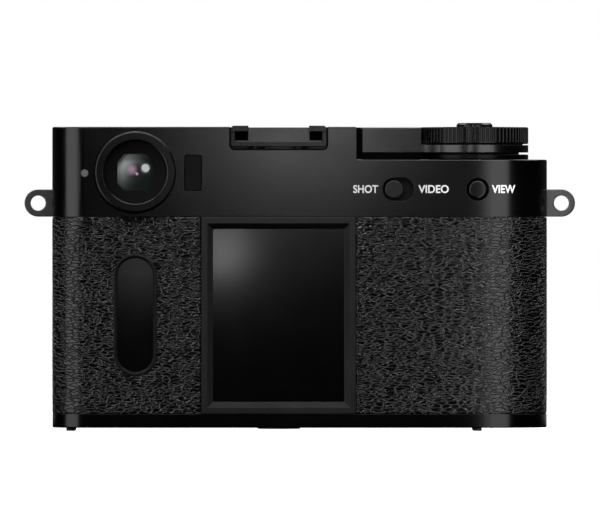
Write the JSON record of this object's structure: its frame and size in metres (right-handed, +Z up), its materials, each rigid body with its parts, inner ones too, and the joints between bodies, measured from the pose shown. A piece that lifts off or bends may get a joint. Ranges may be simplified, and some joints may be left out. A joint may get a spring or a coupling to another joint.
{
  "type": "rangefinder-style camera",
  "caption": "Compact viewfinder camera with leather-covered body, upright rear screen, thumb lever, stacked top dial, accessory shoe, ringed lens and hinged battery door.",
  "frame": {"origin": "axis of the tripod socket at the outer face of the base plate, straight below the lens axis", "axes": "+X to the viewer's right, +Y forwards along the lens axis, +Z up"},
  "size_m": [0.1178, 0.0458, 0.0659],
  "materials": {
    "black_paint": "satin black paint on metal",
    "black_anodised": "black anodised aluminium, satin",
    "leather": "embossed black leatherette",
    "steel": "plain steel",
    "brass": "turned brass",
    "black_plastic": "fine-grained black plastic",
    "gloss_black": "polished black plastic",
    "screen_glass": "dark cover glass",
    "coated_glass": "coated optical glass",
    "clear_window": "clear window",
    "lamp": "frosted lamp lens",
    "circuit_board": "glass-fibre circuit board",
    "battery_wrap": "plain battery case",
    "cast_frame": "die-cast aluminium",
    "rubber": "rubber feet"
  },
  "bodies": {
    "root": {"top_cover": "black_paint", "body_shell": "cast_frame", "base_plate": "black_paint", "chassis_frame": "cast_frame", "leather_left": "leather", "leather_right": "leather", "case_screws": "steel", "base_feet": "rubber", "tripod_bush": "steel", "strap_lugs": "steel", "usb_socket": "steel", "screen_bezel": "black_plastic", "screen_glass": "screen_glass", "screen_panel": "gloss_black", "sub_screen_bezel": "black_plastic", "sub_screen_glass": "screen_glass", "sub_screen_panel": "gloss_black", "eyepiece_ring": "black_plastic", "eyepiece_lens": "coated_glass", "viewfinder_tube": "black_plastic", "viewfinder_window": "clear_window", "status_window": "gloss_black", "indicator_lamp": "lamp", "flash_window": "clear_window", "assist_lamp": "lamp", "accessory_shoe": "black_paint", "shoe_spring": "black_paint", "dial_post": "brass", "dial_washers": "steel", "lever_spring": "steel", "shutter_spring": "steel", "control_board": "circuit_board", "main_board": "circuit_board", "image_sensor": "circuit_board", "battery": "battery_wrap", "memory_card": "gloss_black", "lens_flange": "black_anodised", "lens_barrel": "black_anodised", "lens_nose": "black_anodised", "front_cell": "black_anodised", "rear_cell": "black_anodised", "front_element": "coated_glass", "rear_element": "coated_glass"},
    "power_ring": {"power_ring": "black_anodised"},
    "advance_lever": {"advance_lever": "black_anodised"},
    "comp_dial": {"comp_dial": "black_anodised", "dial_plate": "black_anodised"},
    "shutter_button": {"shutter_button": "black_anodised"},
    "mode_slider": {"mode_slider": "black_anodised"},
    "play_button": {"play_button": "gloss_black"},
    "aperture_ring": {"aperture_ring": "black_anodised"},
    "focus_ring": {"focus_ring": "black_anodised"},
    "battery_door": {"battery_door": "black_paint"},
    "door_latch": {"door_latch": "black_plastic"},
    "port_door": {"port_door": "black_plastic"},
    "iris_blade_1": {"iris_blade_1": "black_anodised"},
    "iris_blade_2": {"iris_blade_2": "black_anodised"},
    "iris_blade_3": {"iris_blade_3": "black_anodised"},
    "iris_blade_4": {"iris_blade_4": "black_anodised"},
    "iris_blade_5": {"iris_blade_5": "black_anodised"}
  },
  "joints": [
    {"name": "power_ring_turn", "type": "hinge", "parent": "root", "child": "power_ring", "pos_m": [0.0419, 0, 0.0579], "axis": [0, 0, 1], "range_deg": [0, 30]},
    {"name": "advance_lever_swing", "type": "hinge", "parent": "root", "child": "advance_lever", "pos_m": [0.0419, 0, 0.0596], "axis": [0, 0, 1], "range_deg": [0, 120], "stiffness_Nm_per_rad": 0.01, "springref_deg": -17.19},
    {"name": "comp_dial_turn", "type": "hinge", "parent": "root", "child": "comp_dial", "pos_m": [0.0419, 0, 0.0625], "axis": [0, 0, 1], "range_deg": [-90, 90]},
    {"name": "shutter_press", "type": "slide", "parent": "root", "child": "shutter_button", "axis": [0, 0, -1], "range_m": [0, 0.0007], "stiffness_N_per_m": 1000, "springref_m": -0.0005, "deforming": ["shutter_spring"]},
    {"name": "mode_slide", "type": "slide", "parent": "root", "child": "mode_slider", "axis": [1, 0, 0], "range_m": [0, 0.0018]},
    {"name": "play_press", "type": "slide", "parent": "root", "child": "play_button", "axis": [0, 1, 0], "range_m": [0, 0.0004], "stiffness_N_per_m": 500, "springref_m": -0.0003},
    {"name": "aperture_turn", "type": "hinge", "parent": "root", "child": "aperture_ring", "pos_m": [0, 0.017, 0.024], "axis": [0, 1, 0], "range_deg": [0, 60]},
    {"name": "focus_turn", "type": "hinge", "parent": "root", "child": "focus_ring", "pos_m": [0, 0.023, 0.024], "axis": [0, 1, 0], "continuous": true},
    {"name": "battery_door_swing", "type": "hinge", "parent": "root", "child": "battery_door", "pos_m": [0.0175, 0, 0.00075], "axis": [0, 1, 0], "range_deg": [0, 95]},
    {"name": "door_latch_slide", "type": "slide", "parent": "battery_door", "child": "door_latch", "axis": [-1, 0, 0], "range_m": [0, 0.0025]},
    {"name": "port_door_swing", "type": "hinge", "parent": "root", "child": "port_door", "pos_m": [-0.0472, 0, 0.0102], "axis": [0, -1, 0], "range_deg": [0, 90]},
    {"name": "iris_blade_1_swing", "type": "hinge", "parent": "root", "child": "iris_blade_1", "pos_m": [0.0122, 0.018, 0.024], "axis": [0, 1, 0], "range_deg": [0, 22]},
    {"name": "iris_blade_2_swing", "type": "hinge", "parent": "root", "child": "iris_blade_2", "pos_m": [0.00377, 0.018, 0.0124], "axis": [0, 1, 0], "range_deg": [0, 22]},
    {"name": "iris_blade_3_swing", "type": "hinge", "parent": "root", "child": "iris_blade_3", "pos_m": [-0.00987, 0.018, 0.01683], "axis": [0, 1, 0], "range_deg": [0, 22]},
    {"name": "iris_blade_4_swing", "type": "hinge", "parent": "root", "child": "iris_blade_4", "pos_m": [-0.00987, 0.018, 0.03117], "axis": [0, 1, 0], "range_deg": [0, 22]},
    {"name": "iris_blade_5_swing", "type": "hinge", "parent": "root", "child": "iris_blade_5", "pos_m": [0.00377, 0.018, 0.0356], "axis": [0, 1, 0], "range_deg": [0, 22]}
  ],
  "couplings": [
    {"joint": "iris_blade_1_swing", "follows": "aperture_turn", "ratio": 0.36},
    {"joint": "iris_blade_2_swing", "follows": "aperture_turn", "ratio": 0.36},
    {"joint": "iris_blade_3_swing", "follows": "aperture_turn", "ratio": 0.36},
    {"joint": "iris_blade_4_swing", "follows": "aperture_turn", "ratio": 0.36},
    {"joint": "iris_blade_5_swing", "follows": "aperture_turn", "ratio": 0.36}
  ]
}
